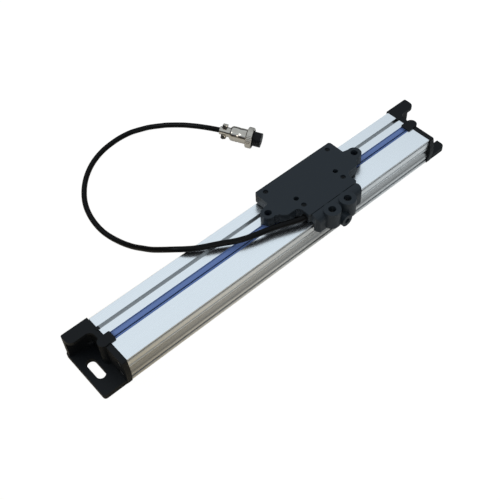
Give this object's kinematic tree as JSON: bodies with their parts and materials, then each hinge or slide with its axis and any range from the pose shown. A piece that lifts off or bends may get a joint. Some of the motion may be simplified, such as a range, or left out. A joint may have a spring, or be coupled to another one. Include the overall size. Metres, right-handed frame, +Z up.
{
  "type": "linear glass scale",
  "caption": "Enclosed linear encoder: ribbed aluminium housing with a sealed slot and mounting end caps, sliding reader head with ears, curled cable and round screw-lock plug.",
  "frame": {"origin": "centre of the underside of the housing profile", "axes": "+X along the scale towards the open notch end, -Y the ribbed front, +Z up out of the seal slot"},
  "size_m": [0.3686, 0.2275, 0.0381],
  "materials": {
    "profile_aluminium": "satin anodised",
    "scale_glass": "clear",
    "bond": "cured adhesive",
    "seal_blue": "smooth",
    "cap_black": "matte black die casting",
    "head_grey": "matte blue grey die casting",
    "gasket_black": "matte",
    "screw_steel": "zinc plated",
    "screw_black": "black oxide",
    "blade_steel": "ground",
    "board_green": "solder mask",
    "chip_black": "moulded",
    "cable_black": "smooth jacket",
    "wire_red": "insulation",
    "ribbon_amber": "film",
    "nickel": "polished nickel plating",
    "insert_black": "moulded",
    "contact_brass": "plated",
    "frame_grey": "bead blasted",
    "lamp_clear": "moulded",
    "optic_glass": "polished",
    "pin_steel": "ground",
    "spring_steel": "rolled"
  },
  "bodies": {
    "housing": {"extrusion": "profile_aluminium", "glass_scale": "scale_glass", "glass_bond": "bond", "lip_seal_front": "seal_blue", "lip_seal_back": "seal_blue", "end_cap_near": "cap_black", "end_cap_far": "cap_black", "cap_gasket_near": "gasket_black", "cap_gasket_far": "gasket_black", "cap_screws": "screw_steel"},
    "head": {"head_base": "head_grey", "cover_gasket": "gasket_black", "head_cover": "head_grey", "cover_screws": "screw_black", "blade": "blade_steel", "blade_screws": "screw_black", "signal_board": "board_green", "board_parts": "chip_black", "board_screws": "screw_steel", "cable_gland": "gasket_black", "cable": "cable_black", "lead_wires": "wire_red", "flex_ribbon": "ribbon_amber", "conn_clamp": "nickel", "clamp_screws": "nickel", "conn_barrel": "nickel", "conn_insert": "insert_black", "conn_contacts": "contact_brass"},
    "coupling_nut": {"coupling_nut": "nickel"},
    "carriage": {"carriage_frame": "frame_grey", "led_board": "board_green", "led_lamp": "lamp_clear", "collimator_lens": "optic_glass", "reticle": "optic_glass", "detector_board": "board_green", "detectors": "chip_black", "roller_pins": "pin_steel", "coupling_post": "pin_steel", "coupling_spring": "spring_steel"},
    "roller_top_a": {"roller_top_a": "pin_steel"},
    "roller_top_b": {"roller_top_b": "pin_steel"},
    "roller_side_a": {"roller_side_a": "pin_steel"},
    "roller_side_b": {"roller_side_b": "pin_steel"},
    "roller_side_c": {"roller_side_c": "pin_steel"}
  },
  "joints": [
    {"name": "head_slide", "type": "slide", "parent": "housing", "child": "head", "axis": [1, 0, 0], "range_m": [-0.1474, 0.0546]},
    {"name": "carriage_slide", "type": "slide", "parent": "housing", "child": "carriage", "axis": [1, 0, 0], "range_m": [-0.1474, 0.0546]},
    {"name": "nut_spin", "type": "hinge", "parent": "head", "child": "coupling_nut", "pos_m": [0.06254, 0.09859, 0.00975], "axis": [0.5406, -0.8324, -0.1219], "continuous": true},
    {"name": "spin_top_a", "type": "hinge", "parent": "carriage", "child": "roller_top_a", "pos_m": [0.0224, 0.006, 0.01912], "axis": [0, 1, 0], "continuous": true},
    {"name": "spin_top_b", "type": "hinge", "parent": "carriage", "child": "roller_top_b", "pos_m": [0.0704, 0.006, 0.01912], "axis": [0, 1, 0], "continuous": true},
    {"name": "spin_side_a", "type": "hinge", "parent": "carriage", "child": "roller_side_a", "pos_m": [0.0224, 0.00138, 0.0095], "axis": [0, 0, 1], "continuous": true},
    {"name": "spin_side_b", "type": "hinge", "parent": "carriage", "child": "roller_side_b", "pos_m": [0.0704, 0.00138, 0.0095], "axis": [0, 0, 1], "continuous": true},
    {"name": "spin_side_c", "type": "hinge", "parent": "carriage", "child": "roller_side_c", "pos_m": [0.0464, 0.00138, 0.01475], "axis": [0, 0, 1], "continuous": true}
  ],
  "couplings": [
    {"joint": "carriage_slide", "follows": "head_slide", "ratio": 1},
    {"joint": "spin_top_a", "follows": "head_slide", "rad_per_m": 400},
    {"joint": "spin_top_b", "follows": "head_slide", "rad_per_m": 400},
    {"joint": "spin_side_a", "follows": "head_slide", "rad_per_m": 400},
    {"joint": "spin_side_b", "follows": "head_slide", "rad_per_m": 400},
    {"joint": "spin_side_c", "follows": "head_slide", "rad_per_m": 400}
  ]
}
